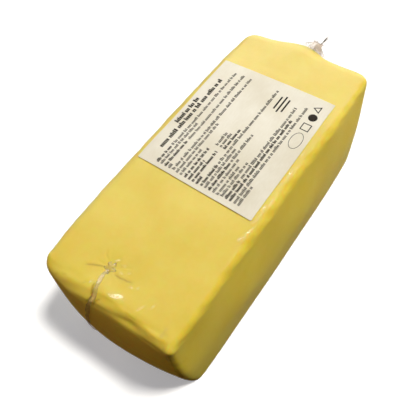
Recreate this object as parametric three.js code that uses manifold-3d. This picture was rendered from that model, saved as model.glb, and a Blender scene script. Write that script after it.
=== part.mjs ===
// A block of pizza mozzarella, shrunk tight into a clear bag, with a paper label on its top face.
// Sizes are millimetres. X runs across the block, Y along it and Z up.
// The origin lies on the resting face, below the middle of the block.
// The near end (-Y) carries the bag's seam and pucker, the far end (+Y) its gathered neck.
import * as THREE from "three";
import { mergeVertices } from "three/addons/utils/BufferGeometryUtils.js";
import Module from "manifold-3d";

const wasm = await Module();
wasm.setup();

// Block: the box that its faces would make without any swelling, and its rounded edges
const BLOCK_WIDTH = 102;
const BLOCK_LENGTH = 220;
const BLOCK_HEIGHT = 94;
const EDGE_ROUND = 10.2;
const FOOT_ROUND = 8.6;
const HALF = new THREE.Vector3(BLOCK_WIDTH / 2, BLOCK_LENGTH / 2, BLOCK_HEIGHT / 2);

// Swelling of each face at its middle, and how far the near end stands askew
const SIDE_SWELL = 2.9;
const NEAR_SWELL = 10.1;
const FAR_SWELL = 5.2;
const TOP_SWELL = 0.8;
const NEAR_SKEW = 2.3;

// How far the bag pulls each upright corner in, across and along the block alike
const CORNER_PULL = { nearLeft: 4.6, nearRight: 0.3, farLeft: 4.1, farRight: 2.2 };
const CORNER_SHARPNESS = 6;

// Hump: the far top edge is drawn up and out below the gathered neck
const HUMP_RISE = 4.5;
const HUMP_X = -6.5;
const HUMP_Z = 84;
const HUMP_SPREAD_X = 10.8;
const HUMP_SPREAD_Z = 15.6;
const HUMP_TILT = THREE.MathUtils.degToRad(46);
const HUMP_START_Y = 80;
const HUMP_FULL_Y = 110;
const HUMP_START_Z = 30;

// Gathered neck: the line it follows, and the peak that the film makes round that line on the hump
const NECK_FOOT = new THREE.Vector3(2, 114, 87);
const NECK_AXIS = new THREE.Vector3(0.06, 0.8, 0.6).normalize();
const PEAK_RISE = 6.6;
const PEAK_SPREAD = 5.4;

// Seam of the bag: a welt from the pucker over the near edge and down the near face
const SEAM_X = -8.5;
const SEAM_WELT = 0.9;
const SEAM_HALF_WIDTH = 1.7;
const SEAM_DRIFT = -16;
const SEAM_REACH = 12;
const PUCKER_Y = -90;
const PUCKER_DEPTH = 1.3;
const PUCKER_RADIUS = 5;

// Hand-packed unevenness of the faces, fading out towards the resting face
const UNEVEN_RISE = 0.4;
const UNEVEN_WAVE_ALONG = 67;
const UNEVEN_WAVE_ROUND = 83;
const UNEVEN_FADE = 30;

// Grid of the block's skin
const ROUND_STEPS = 4;
const SEAM_STOPS = [-7.2, -4, -1.7, 0, 1.7, 4, 7.2];
const FINE_STEP = 3;
const WIDE_STEP = 7.5;
const PUCKER_REACH = 12;
const PEAK_REACH = 10;
const PEAK_DEPTH = 20;

// Label: its rectangle on the top face, and the paper
const LABEL_LEFT = -43.4;
const LABEL_RIGHT = 40.2;
const LABEL_NEAR = -25;
const LABEL_FAR = 71.5;
const LABEL_THICKNESS = 0.3;
const LABEL_STEP = 4.2;

// Gathered film: its radius along the neck's line, and the pleats round it
const NECK_ROOT = 2;
const NECK_LENGTH = 7.4;
const FRILL_LENGTH = 7.5;
const ROOT_RADIUS = 5.2;
const NECK_RADIUS = 2.9;
const FRILL_RADIUS = 5.6;
const FRILL_CURVE = 0.8;
const FILM_WALL = 0.7;
const PLEATS = 7;
const PLEAT_DEPTH = 0.2;
const PLEAT_SIDES = 6;
const PROFILE_STEPS = 6;
const LONG_PLEAT = 3.2;
const LONG_PLEAT_ANGLE = THREE.MathUtils.degToRad(140);
const LONG_PLEAT_SHARPNESS = 6;

// Gap that every piece keeps to its neighbour, and how close two vertices count as one
const GAP = 0.3;
const SAME_VERTEX = 1e-4;

const { clamp, lerp, smoothstep } = THREE.MathUtils;
const bell = (offset, spread) => Math.exp(-0.5 * (offset / spread) ** 2);

// Even stops from one place to another, close to a wished step
function evenStops(from, to, step) {
  const count = Math.max(1, Math.round((to - from) / step));
  return Array.from({ length: count + 1 }, (_, i) => lerp(from, to, i / count));
}

// Grid lines of one axis: equal turns round each edge and the given stops between them
function gridLines(half, lowRound, highRound, stops) {
  const stepAngle = Math.PI / 4 / ROUND_STEPS;
  const turns = Array.from({ length: ROUND_STEPS }, (_, i) => Math.tan((i + 1) * stepAngle));
  const low = turns.map((t) => -half + lowRound - lowRound * t).reverse();
  const high = turns.map((t) => half - highRound + highRound * t);
  return [...low, ...stops, ...high];
}

// Splits a point of the plain box into its core and the way out, and rounds the box's edges with them
function roundEdges(point) {
  const round = new THREE.Vector3(EDGE_ROUND, EDGE_ROUND, point.z < 0 ? FOOT_ROUND : EDGE_ROUND);
  const reach = HALF.clone().sub(round);
  const core = point.clone().clamp(reach.clone().negate(), reach);
  const out = point.clone().sub(core).divide(round).normalize();
  return { point: core.add(out.clone().multiply(round)), out };
}

// Swells the faces between their edges, skews the near end and pulls the upright corners in
function swellFaces(point) {
  const u = point.clone().divide(HALF);
  const across = 1 - u.x * u.x;
  const along = 1 - u.y * u.y;
  const upright = 1 - u.z * u.z;
  const near = clamp(-u.y, 0, 1) ** 2;
  const endSwell = u.y < 0 ? -NEAR_SWELL : FAR_SWELL;
  const leftPull = u.y < 0 ? CORNER_PULL.nearLeft : CORNER_PULL.farLeft;
  const rightPull = u.y < 0 ? CORNER_PULL.nearRight : CORNER_PULL.farRight;
  const pull = (u.x < 0 ? leftPull : rightPull) * (u.x * u.y) ** CORNER_SHARPNESS;
  point.x += Math.sign(u.x) * (SIDE_SWELL * u.x * u.x * along * upright - pull);
  point.y += endSwell * u.y * u.y * across * upright + NEAR_SKEW * u.x * near - Math.sign(u.y) * pull;
  point.z += TOP_SWELL * clamp(u.z, 0, 1) ** 2 * across * along;
}

// Height that the seam's welt, the pucker and the unevenness add to the skin at a grid point
function relief(grid, point) {
  const pastPucker = smoothstep(-grid.y, -PUCKER_Y - PUCKER_RADIUS, -PUCKER_Y);
  const aboveFoot = smoothstep(point.z, FOOT_ROUND, FOOT_ROUND + UNEVEN_FADE);
  const welt = SEAM_WELT * bell(grid.x - SEAM_X, SEAM_HALF_WIDTH) * pastPucker * aboveFoot;
  const onTop = point.z > BLOCK_HEIGHT / 2 ? 1 : 0;
  const pucker = PUCKER_DEPTH * bell(Math.hypot(grid.x - SEAM_X, grid.y - PUCKER_Y), PUCKER_RADIUS) * onTop;
  const alongWave = Math.sin((2 * Math.PI * point.y) / UNEVEN_WAVE_ALONG);
  const roundWave = Math.sin((2 * Math.PI * (point.x + point.z)) / UNEVEN_WAVE_ROUND);
  const uneven = UNEVEN_RISE * alongWave * roundWave * smoothstep(point.z, 0, UNEVEN_FADE);
  return welt - pucker + uneven;
}

// Draws the far top edge up and out into a hump, and the hump into a peak round the neck's line
function drawOutNeck(point) {
  const farness = clamp((point.y - HUMP_START_Y) / (HUMP_FULL_Y - HUMP_START_Y), 0, 1);
  const atFarTop = farness * smoothstep(point.z, HUMP_START_Z, HUMP_Z);
  const humpReach = bell(point.x - HUMP_X, HUMP_SPREAD_X) * bell(point.z - HUMP_Z, HUMP_SPREAD_Z);
  const hump = HUMP_RISE * humpReach * atFarTop;
  point.y += hump * Math.cos(HUMP_TILT);
  point.z += hump * Math.sin(HUMP_TILT);
  const fromFoot = point.clone().sub(NECK_FOOT);
  const fromLine = fromFoot.addScaledVector(NECK_AXIS, -fromFoot.dot(NECK_AXIS)).length();
  point.addScaledVector(NECK_AXIS, PEAK_RISE * bell(fromLine, PEAK_SPREAD) * atFarTop);
}

// Carries a point of the plain box, centred on the origin, to the wrapped block's skin
function skinPoint(grid) {
  const nearSide = smoothstep(-grid.y, -PUCKER_Y, HALF.y);
  const drift = SEAM_DRIFT * (0.5 - grid.z / BLOCK_HEIGHT) * nearSide * bell(grid.x - SEAM_X, SEAM_REACH);
  const { point, out } = roundEdges(new THREE.Vector3(grid.x + drift, grid.y, grid.z));
  swellFaces(point);
  point.z += HALF.z;
  drawOutNeck(point);
  point.addScaledVector(out, relief(grid, point));
  return { point, out };
}

// A box geometry whose grid lines on each axis are given, and whose vertices a function then places
function shapedBox(linesX, linesY, linesZ, place) {
  const lines = [linesX, linesY, linesZ];
  const steps = lines.map((list) => list.length - 1);
  const geometry = new THREE.BoxGeometry(2, 2, 2, ...steps);
  const position = geometry.attributes.position;
  const unit = new THREE.Vector3();
  for (let i = 0; i < position.count; i += 1) {
    unit.fromBufferAttribute(position, i);
    const numbers = unit.toArray().map((value, axis) => Math.round(((value + 1) / 2) * steps[axis]));
    const grid = new THREE.Vector3(...numbers.map((number, axis) => lines[axis][number]));
    position.setXYZ(i, ...place(grid).toArray());
  }
  return closed(geometry);
}

// Joins a geometry's shared vertices, drops empty triangles and works out smooth normals
function closed(geometry) {
  geometry.deleteAttribute("normal");
  geometry.deleteAttribute("uv");
  const joined = mergeVertices(geometry, SAME_VERTEX);
  const index = joined.index.array;
  const kept = [];
  for (let i = 0; i < index.length; i += 3) {
    const [a, b, c] = index.slice(i, i + 3);
    if (new Set([a, b, c]).size === 3) {
      kept.push(a, b, c);
    }
  }
  joined.setIndex(kept);
  joined.computeVertexNormals();
  return joined;
}

// The cheese in its film as one body, grown outwards by a clearance where one is given
function blockGeometry(clearance = 0) {
  const flatX = HALF.x - EDGE_ROUND;
  const flatY = HALF.y - EDGE_ROUND;
  const seamStops = SEAM_STOPS.map((offset) => SEAM_X + offset);
  const peakRight = NECK_FOOT.x + PEAK_REACH;
  const stopsX = [
    ...evenStops(-flatX, seamStops[0], WIDE_STEP).slice(0, -1),
    ...seamStops,
    ...evenStops(seamStops.at(-1), peakRight, FINE_STEP).slice(1),
    ...evenStops(peakRight, flatX, WIDE_STEP).slice(1),
  ];
  const puckerEnd = PUCKER_Y + PUCKER_REACH;
  const stopsY = [
    ...evenStops(-flatY, puckerEnd, FINE_STEP).slice(0, -1),
    ...evenStops(puckerEnd, HUMP_START_Y, 2 * WIDE_STEP).slice(0, -1),
    ...evenStops(HUMP_START_Y, flatY, WIDE_STEP),
  ];
  const flatTop = HALF.z - EDGE_ROUND;
  const stopsZ = [
    ...evenStops(-HALF.z + FOOT_ROUND, flatTop - PEAK_DEPTH, WIDE_STEP).slice(0, -1),
    ...evenStops(flatTop - PEAK_DEPTH, flatTop, FINE_STEP),
  ];
  const geometry = shapedBox(
    gridLines(HALF.x, EDGE_ROUND, EDGE_ROUND, stopsX),
    gridLines(HALF.y, EDGE_ROUND, EDGE_ROUND, stopsY),
    gridLines(HALF.z, FOOT_ROUND, EDGE_ROUND, stopsZ),
    (grid) => skinPoint(grid).point,
  );
  const { position, normal } = geometry.attributes;
  for (let i = 0; i < position.count && clearance > 0; i += 1) {
    const grown = new THREE.Vector3().fromBufferAttribute(position, i);
    grown.addScaledVector(new THREE.Vector3().fromBufferAttribute(normal, i), clearance);
    position.setXYZ(i, ...grown.toArray());
  }
  return geometry;
}

// The paper label: a thin sheet that lies a gap above the top face and bends with it
function labelGeometry() {
  return shapedBox(
    evenStops(LABEL_LEFT, LABEL_RIGHT, LABEL_STEP),
    evenStops(LABEL_NEAR, LABEL_FAR, LABEL_STEP * 2),
    [GAP, GAP + LABEL_THICKNESS],
    (grid) => {
      const { point, out } = skinPoint(new THREE.Vector3(grid.x, grid.y, HALF.z));
      return point.addScaledVector(out, grid.z);
    },
  );
}

// Half outline of the gathered film: out along its root, in to the neck, out to the frill and back inside it
function tailProfile() {
  const steps = Array.from({ length: PROFILE_STEPS + 1 }, (_, i) => i / PROFILE_STEPS);
  const cone = steps.map((t) => {
    const radius = NECK_RADIUS + (ROOT_RADIUS - NECK_RADIUS) * (1 - t) ** 2;
    return new THREE.Vector2(radius, lerp(NECK_ROOT, NECK_LENGTH, t));
  });
  const frill = steps.slice(1).map((t) => {
    const radius = lerp(NECK_RADIUS, FRILL_RADIUS, t ** FRILL_CURVE);
    return new THREE.Vector2(radius, NECK_LENGTH + FRILL_LENGTH * t);
  });
  const inside = frill.map((p) => new THREE.Vector2(p.x - FILM_WALL, p.y)).reverse();
  const pit = new THREE.Vector2(0, NECK_LENGTH + FILM_WALL);
  return [new THREE.Vector2(0, NECK_ROOT), ...cone, ...frill, ...inside, pit];
}

// The gathered neck and frill of the bag: a pleated lathe on the neck's line, its root fitted to the peak
function tailGeometry() {
  const lathe = new THREE.LatheGeometry(tailProfile(), PLEATS * PLEAT_SIDES);
  const position = lathe.attributes.position;
  for (let i = 0; i < position.count; i += 1) {
    const [x, y, z] = new THREE.Vector3().fromBufferAttribute(position, i).toArray();
    const angle = Math.atan2(x, z);
    const gathered = smoothstep(y, NECK_ROOT, NECK_LENGTH);
    const frilled = clamp((y - NECK_LENGTH) / FRILL_LENGTH, 0, 1);
    const pleat = 1 + PLEAT_DEPTH * gathered * Math.cos(PLEATS * angle);
    const facing = Math.max(0, Math.cos(angle - LONG_PLEAT_ANGLE)) ** LONG_PLEAT_SHARPNESS;
    const long = LONG_PLEAT * frilled * facing;
    position.setXYZ(i, x * pleat, y + long, z * pleat);
  }
  const turn = new THREE.Quaternion().setFromUnitVectors(new THREE.Vector3(0, 1, 0), NECK_AXIS);
  lathe.applyQuaternion(turn);
  lathe.translate(...NECK_FOOT.toArray());
  return cut(closed(lathe), blockGeometry(GAP));
}

// Turns a closed geometry into a solid for cutting
function solid(geometry) {
  return new wasm.Manifold(new wasm.Mesh({
    numProp: 3,
    vertProperties: new Float32Array(geometry.attributes.position.array),
    triVerts: new Uint32Array(geometry.index.array),
  }));
}

// The first geometry with the second one taken out of it
function cut(geometry, tool) {
  const mesh = solid(geometry).subtract(solid(tool)).getMesh();
  const result = new THREE.BufferGeometry();
  result.setAttribute("position", new THREE.BufferAttribute(mesh.vertProperties, 3));
  result.setIndex(new THREE.BufferAttribute(mesh.triVerts, 1));
  result.computeVertexNormals();
  return result;
}

// A named mesh with a plain finish of its own
function piece(name, geometry, color, roughness) {
  const material = new THREE.MeshStandardMaterial({ color, roughness, metalness: 0 });
  const mesh = new THREE.Mesh(geometry, material);
  mesh.name = name;
  return mesh;
}

const group = new THREE.Group();
group.add(piece("wrapped_block", blockGeometry(), "#ecd266", 0.3));
group.add(piece("film_tail", tailGeometry(), "#d6cbb4", 0.2));
group.add(piece("label", labelGeometry(), "#efe7d6", 0.6));

export default group;
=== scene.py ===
"""Looks of a block of pizza mozzarella, shrunk tight into a clear bag, with a paper label on its top face.

Shapes are worked out in millimetres in the part's own frame: X across the block, Y along it and Z up.
The near end (-Y) carries the bag's seam and pucker, the far end (+Y) its gathered neck.
"""

import math

import bpy
import numpy as np
from mathutils import Matrix, Vector


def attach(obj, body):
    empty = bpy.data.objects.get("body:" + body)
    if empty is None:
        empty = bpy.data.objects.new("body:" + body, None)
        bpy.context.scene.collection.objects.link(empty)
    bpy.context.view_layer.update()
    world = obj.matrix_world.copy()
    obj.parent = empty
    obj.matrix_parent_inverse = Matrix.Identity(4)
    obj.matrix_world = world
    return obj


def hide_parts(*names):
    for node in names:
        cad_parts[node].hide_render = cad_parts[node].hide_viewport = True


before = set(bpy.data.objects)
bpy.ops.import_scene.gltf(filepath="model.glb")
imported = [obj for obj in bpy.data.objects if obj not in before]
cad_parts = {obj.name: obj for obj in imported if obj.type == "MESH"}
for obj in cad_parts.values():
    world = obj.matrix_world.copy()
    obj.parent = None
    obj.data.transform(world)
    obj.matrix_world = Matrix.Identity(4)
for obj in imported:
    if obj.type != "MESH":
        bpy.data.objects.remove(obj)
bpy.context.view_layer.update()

MM = 0.001
CRISP_ANGLE = 40
SEED = 20

# Block: the box without any swelling, its rounded edges, and the swelling of each face
HALF = np.array([51.0, 110.0, 47.0])
HEIGHT = 2 * HALF[2]
EDGE_ROUND = 10.2
FOOT_ROUND = 8.6
SIDE_SWELL = 2.9
NEAR_SWELL = 10.1
FAR_SWELL = 5.2
TOP_SWELL = 0.8
NEAR_SKEW = 2.3
NEAR_PULL = (4.6, 0.3)
FAR_PULL = (4.1, 2.2)
CORNER_SHARPNESS = 6

# Power of the rounds, where 2 is a true arc and more is squarer, and how far two sides lean in at the top
ROUND_POWER = 2.0
RIGHT_CRISPNESS = 3.2
NEAR_CRISPNESS = 0.9
CRISP_REACH = 0.6
CRISP_FROM_Z = (-46.0, -16.0)
RIGHT_LEAN = 3.6
NEAR_LEAN = 3.0
LEAN_START_Z = 40.0
LEAN_FAR_SHARE = 0.5
NEAR_LEAN_FROM = (-25, 5)
NEAR_LEAN_OVER = (15, 45)
NEAR_LEAN_LOSS = 0.6

# Hump below the neck, and the peak that the film makes round the neck's line
HUMP_RISE = 4.5
HUMP_X = -6.5
HUMP_Z = 84.0
HUMP_SPREAD_X = 10.8
HUMP_SPREAD_Z = 15.6
HUMP_TILT = math.radians(46)
HUMP_START_Y = 80.0
HUMP_FULL_Y = 110.0
HUMP_START_Z = 30.0
NECK_FOOT = np.array([2.0, 114.0, 87.0])
NECK_AXIS = np.array([0.06, 0.8, 0.6]) / np.linalg.norm([0.06, 0.8, 0.6])
PEAK_RISE = 6.6
PEAK_SPREAD = 5.4

# Seam and pucker of the bag at the near end
SEAM_X = -8.5
SEAM_WELT = 0.35
SEAM_HALF_WIDTH = 1.7
SEAM_DRIFT = -16.0
SEAM_REACH = 12.0
PUCKER_Y = -90.0
PUCKER_DEPTH = 0.9
PUCKER_RADIUS = 5.0

# Hand-packed unevenness of the faces
UNEVEN_RISE = 0.4
UNEVEN_WAVE_ALONG = 67.0
UNEVEN_WAVE_ROUND = 83.0
UNEVEN_FADE = 30.0

# How far the cheese lies below the film, and how much of the hump and the peak it fills
FILM_GAP = 0.35
CHEESE_HUMP = 0.86
CHEESE_PEAK = 0.25

# Steps of the skin's grid
ROUND_STEPS = 12
FOLD_STEP = 0.62
EDGE_STEP = 1.5
LENGTH_STEP = 1.3
FACE_STEP = 2.6

# Folds of the film at the near end: half width, height, painted shade, whitish milk, then places (x, unrolled
# y)
FOLDS = (
    (0.30, 0.15, 0.36, 0.00, ((-22.4, -96.0), (-17.5, -93.4), (-13.2, -91.2), (-9.4, -89.8))),
    (0.30, 0.15, 0.38, 0.00, ((-5.2, -91.4), (0.5, -91.0), (5.0, -90.3), (9.2, -89.2))),
    (0.32, 0.22, 0.55, 0.00,
     ((-9.6, -98.6), (-9.2, -102.0), (-7.6, -106.5), (-6.6, -110.5), (-8.6, -118.0))),
    (0.40, 0.14, 0.00, 0.00, ((-12.0, -87.4), (-15.2, -84.2), (-17.0, -80.5))),
    (0.40, 0.14, 0.00, 0.00, ((-5.0, -88.0), (-1.2, -85.6), (3.6, -83.4))),
    (0.36, 0.25, 0.40, 0.00, ((-1.4, -108.4), (-3.4, -111.6), (-3.8, -117.0))),
    # Whitish streak with no shade: a painted highlight
    (0.50, 0.25, 0.00, 0.12, ((38.0, -97.6), (38.3, -101.0), (38.0, -105.2))),
    (0.60, 0.30, 0.55, 0.00,
     ((48.6, -108.0), (49.2, -114.0), (48.8, -124.0), (49.4, -140.0), (49.0, -165.0))),
    # Whitish streak with no shade: a painted highlight
    (0.50, 0.20, 0.00, 0.22, ((46.4, -112.0), (45.8, -119.0), (46.6, -128.0))),
    (0.60, 0.25, 0.20, 0.00, ((-47.5, -113.0), (-47.0, -126.0), (-47.6, -150.0), (-47.2, -185.0))),
    (0.50, 0.25, 0.12, 0.00, ((-31.0, -108.0), (-33.5, -110.4), (-34.4, -114.0))),
    (0.50, 0.20, 0.10, 0.00, ((-26.8, -105.4), (-30.0, -107.0))),
    (0.45, 0.25, 0.20, 0.00, ((14.0, -105.6), (18.5, -107.2), (22.5, -106.8))),
    (0.45, 0.25, 0.20, 0.00, ((27.0, -106.4), (31.5, -108.6), (37.0, -107.6))),
    # Two whitish specks on the near face: painted highlights
    (0.45, 0.20, 0.00, 0.10, ((11.2, -119.0), (11.8, -121.5))),
    (0.45, 0.20, 0.00, 0.10, ((4.4, -137.0), (5.0, -140.0))),
)
FOLD_FADE = 0.25

# Glints: flat facets of slack film, as x, unrolled y, half length, half width, turn, two slopes and shine
FACETS = (
    (4.8, -100.4, 5.4, 2.5, 20, 0.02, 0.00, 0.36),
    (5.6, -100.0, 4.0, 1.4, 28, 0.02, 0.00, 1.00),
    (2.6, -101.6, 1.8, 0.8, -20, 0.02, 0.00, 0.72),
    (-7.6, -84.2, 2.2, 0.8, 48, 0.02, 0.00, 0.48),
    (-2.4, -84.6, 1.8, 0.8, 20, 0.03, 0.00, 0.38),
    (-1.0, -88.6, 1.5, 0.7, 0, 0.02, 0.00, 0.44),
    (3.0, -86.4, 1.3, 0.7, 30, 0.02, 0.01, 0.34),
    (8.8, -91.9, 1.5, 0.7, 20, 0.02, 0.00, 0.48),
    (12.0, -90.3, 1.2, 0.7, 70, 0.02, 0.00, 0.44),
    (-14.6, -103.6, 1.4, 0.8, 60, 0.02, 0.00, 0.50),
    (-11.8, -101.2, 1.5, 0.8, 70, 0.02, 0.00, 0.50),
    (19.8, -99.0, 1.9, 0.7, 60, -0.01, 0.00, 0.44),
    (20.8, -96.9, 1.7, 0.7, 60, -0.01, 0.01, 0.40),
    (25.3, -93.7, 1.9, 0.7, 80, -0.02, 0.00, 0.44),
    (41.8, -36.6, 2.6, 1.0, 65, 0.00, 0.03, 0.72),
    (43.0, -31.6, 2.2, 0.9, 70, 0.01, 0.02, 0.58),
    (41.8, -14.0, 1.8, 0.9, 80, 0.00, 0.00, 0.50),
    (42.6, 13.8, 2.4, 0.9, 75, 0.00, -0.04, 0.60),
)

# Sparkles: more such facets strewn along the right edge, as ranges of x, y, half length, half width and turn
SPARKLE_COUNT = 34
SPARKLE_X = (41.0, 46.0)
SPARKLE_Y = (-44.0, 34.0)
SPARKLE_LENGTH = (0.9, 2.2)
SPARKLE_WIDTH = (0.6, 0.9)
SPARKLE_TURN = (50.0, 100.0)
SPARKLE_SLOPE = 0.04
SPARKLE_SHINE = (0.12, 0.44)

# Rays of small wrinkles round the pucker
RAY_COUNTS = (7, 11, 17)
RAY_RISE = 0.06
RAY_INNER = 3.0
RAY_OUTER = 13.0

# Lumps along the rounded edges, where the film bridges uneven curd
LUMP_RISE = 0.12
RIGHT_LUMP_GAIN = 1.7
LUMP_WAVES = (7.0, 10.0, 14.0, 20.0, 29.0)
NEAR_LUMP_GAIN = 4.6
NEAR_LUMP_LEAST = 0.4
NEAR_LUMP_FROM = (-15, 25)
LUMP_WINDOW = (0.1, 0.6)
LUMP_EDGE = (0.0, 0.16)
LUMP_CLEAR_Z = (1, 14)

# Pleats of the film round the neck's foot
NECK_PLEATS = 9
NECK_PLEAT_RISE = 0.42
NECK_PLEAT_REACH = 8.5
NECK_MILK = 0.85
NECK_MILK_SPREAD = 5.4
NECK_MILK_Y = (104, 112)
NECK_MILK_Z = (78, 88)
NECK_PLEAT_Y = (96, 106)
NECK_PLEAT_Z = (60, 75)
NECK_PLEAT_START = (0.5, 4.0)

# Flap of the seam: its line (x, unrolled y), half width, thickness and stand above the film
FLAP_LINE = ((-8.3, -90.6), (-8.7, -93.8), (-8.2, -97.2), (-7.4, -100.4), (-6.0, -104.8), (-5.2, -108.4),
             (-5.6, -112.4), (-6.6, -120.0), (-7.2, -134.0), (-7.4, -150.0), (-7.0, -168.0))
FLAP_HALF_WIDTH = 1.45
FLAP_THICKNESS = 0.10
FLAP_STAND = 0.30
FLAP_MILK = 0.045
# Flap tint: a slight even tint of the doubled film, plus painted shade on the flap's edges and in the knot's
# valleys
FLAP_SHADE = (0.05, 0.22)
FLAP_SLACK = 0.35
FLAP_CRINKLE = 0.13
FLAP_TAPER = ((-6, 10), (-4, 12))
FLAP_CURL = 0.25
FLAP_FLUTTER = 0.08
FLAP_SWAY = 0.25
FLAP_STEPS = 120
FLAP_ACROSS = 8

# Knot of gathered film in the pucker
KNOT_PLACE = (-8.4, -89.2)
KNOT_RADIUS = 3.1
KNOT_HEIGHT = 1.5
KNOT_LOBES = 5
KNOT_SIDES = 60
KNOT_RINGS = 9
KNOT_TIP = 0.12
KNOT_BULGE = 1.6
KNOT_SINK = 0.3
KNOT_FOOT = -0.9
KNOT_CROWN = 0.75

# Gathered neck and frill: radius along the neck's line, and pleats round it
NECK_ROOT = 0.5
NECK_LENGTH = 6.0
FRILL_LENGTH = 7.0
ROOT_RADIUS = 6.2
NECK_RADIUS = 2.7
FRILL_RADIUS = 5.2
FRILL_CURVE = 0.8
TAIL_WALL = 0.3
TAIL_PLEATS = 7
TAIL_PLEAT_DEPTH = 0.26
TAIL_SIDES = 168
TAIL_STEPS = 16
LONG_PLEAT = 2.4
LONG_PLEAT_ANGLE = math.radians(140)
LONG_PLEAT_SHARPNESS = 8
NECK_LAYERS = 0.86
STRAND_LAYERS = 0.2
FOOT_LAYERS = 0.4
FRILL_THINNING = 0.95
RAGGED_EDGE = ((5, 0.16, 0.4), (13, 0.10, 0.0))
EDGE_SINK = 0.2

# Label: its rectangle on the top face, the paper's lower and upper face above the film, and its cockle
LABEL_X = (-43.4, 40.2)
LABEL_Y = (-25.0, 71.5)
LABEL_LIFT = (0.08, 0.30)
LABEL_STEP = 2.0
COCKLE_RISE = 0.10
COCKLE_WAVES = (31.0, 47.0)

# Print: ink from just inside the paper to just above it
INK_LIFT = (0.24, 0.34)
TEXT_HEIGHT = 1.52
TITLE_HEIGHT = 2.3
LETTER_PITCH = 0.88
WORD_LETTERS = (2, 8)
TALL_SHARE = 0.28
TALL_GAIN = 1.4
STEM_SHARE = 0.66
BOLD_SHARE = 0.82

# Rows of print: place across the label, then (start, end, bold) runs along it
TITLE_ROWS = (
    (-39.0, ((9.0, 33.0, True),)),
    (-34.9, ((-12.0, 54.0, True),)),
)
TEXT_ROWS = (
    (-29.5, ((-22.0, -8.0, True), (-7.0, 64.5, False))),
    (-26.6, ((-22.0, 15.5, False),)),
    (-23.4, ((-22.0, 1.0, True), (2.0, 65.0, False))),
    (-20.5, ((-22.0, -17.0, False),)),
    (-17.6, ((-21.5, 65.0, False),)),
    (-14.7, ((-22.0, 22.0, False),)),
    (-11.7, ((-22.0, 1.0, False),)),
    (-8.4, ((-22.0, 4.0, True),)),
    (-5.5, ((-22.0, -6.0, True), (7.0, 19.0, False))),
    (-2.7, ((-22.0, 4.0, True), (7.0, 19.0, False))),
    (0.2, ((-22.0, -16.0, True), (7.0, 25.5, True))),
    (3.3, ((-21.5, -4.5, True), (-3.5, 64.5, False))),
    (6.1, ((-21.5, 11.0, False),)),
    (9.0, ((-21.5, 0.5, True), (1.5, 26.0, False))),
    (11.9, ((-21.5, 6.5, False),)),
    (14.9, ((-21.5, 2.0, False),)),
    (17.7, ((-21.0, 6.5, False),)),
    (20.6, ((-21.0, -6.0, True), (-5.0, 58.0, False))),
    (23.3, ((-21.0, 47.0, True),)),
    (26.4, ((-21.0, 61.0, False),)),
    (29.0, ((-21.0, -5.0, False),)),
)

# Plain shapes in the label's far corner: middle (x, y) and half sizes
RING_AT = (33.3, 35.0)
RING_HALF = (3.8, 6.5)
RING_LINE = 0.32
SQUARE_AT = (33.3, 46.8)
SQUARE_HALF = 2.9
DISC_AT = (33.3, 55.4)
DISC_RADIUS = 2.9
TRIANGLE_AT = (32.9, 62.8)
TRIANGLE_RADIUS = 3.3
SHAPE_LINE = 0.62
BAR_ROWS = ((8.4, 50.0, 61.0), (11.2, 48.4, 62.6), (14.0, 50.0, 61.0))
BAR_HEIGHT = 1.1
SHAPE_SIDES = 48

# Camera: where it looks, from which side, and its lens
CAMERA_TARGET = np.array([-12.47, -10.91, 47.0])
CAMERA_AZIMUTH = math.radians(48.58)
CAMERA_ELEVATION = math.radians(59.56)
CAMERA_ROLL = math.radians(-13.93)
CAMERA_DISTANCE = 300.19
CAMERA_LENS = 38.35
SENSOR_WIDTH = 36.0

# Lights: way from the block, distance and size in metres, power in watts, colour, and what they show in
LIGHTS = (
    ("key", (0.318, 0.256, 0.912), 2.40, (0.30, 0.30), 55.0, "#FFFCF6", "body"),
    ("right_fill", (0.62, 0.78, 0.10), 0.55, (0.30, 0.09), 0.64, "#FFE9CC", "both"),
    ("right_bounce", (0.80, 0.25, -0.55), 0.60, (0.60, 0.30), 0.44, "#FFEBCB", "body"),
    ("near_fill", (-0.34, -0.91, 0.20), 1.00, (0.60, 0.40), 1.65, "#FFD3A2", "both"),
    ("left_fill", (-0.97, 0.10, 0.20), 1.20, (0.60, 0.40), 3.6, "#FFF8EE", "both"),
    ("far_fill", (-0.10, 0.97, 0.20), 1.20, (0.60, 0.40), 1.7, "#FFF8EE", "body"),
    ("backdrop", (-0.36, 0.76, 0.545), 1.50, (1.40, 0.90), 39.0, "#FFFFFF", "gloss"),
    ("left_panel", (-0.60, 0.27, 0.75), 1.50, (0.55, 0.50), 5.0, "#FFEBD2", "gloss"),
    ("near_panel", (-0.42, 0.05, 0.905), 1.50, (0.38, 0.28), 2.6, "#FFFFFF", "gloss"),
    ("right_panel", (-0.24, 0.39, 0.89), 1.50, (0.36, 0.40), 5.4, "#FFFFFF", "gloss"),
    ("low_panel", (0.12, 0.52, -0.85), 1.00, (1.20, 1.20), 1.7, "#FFF6E8", "gloss"),
)
SURROUND_COLOUR = "#FFFFFF"
FLOOR_GLOW = (0.34, 1.1)
GLOW_REACH = (0.30, 0.90)
FLOOR_HALF = 3.0


def smooth(value, low, high):
    """Smooth ramp: 3t^2 - 2t^3 of the share t of the way from low to high."""
    t = np.clip((value - low) / (high - low), 0, 1)
    return t * t * (3 - 2 * t)


def bell(offset, spread):
    """Bell curve of height 1: e to the power of minus half the squared share of offset in spread."""
    return np.exp(-0.5 * (offset / spread) ** 2)


def unit(vectors):
    """Each vector divided by its own length."""
    return vectors / np.linalg.norm(vectors, axis=-1, keepdims=True)


def stops(*parts):
    """Even stops through parts that follow one another, each a start, an end and a step."""
    runs = [np.linspace(a, b, max(1, round((b - a) / step)), endpoint=False) for a, b, step in parts]
    return np.concatenate([*runs, [parts[-1][1]]])


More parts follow.
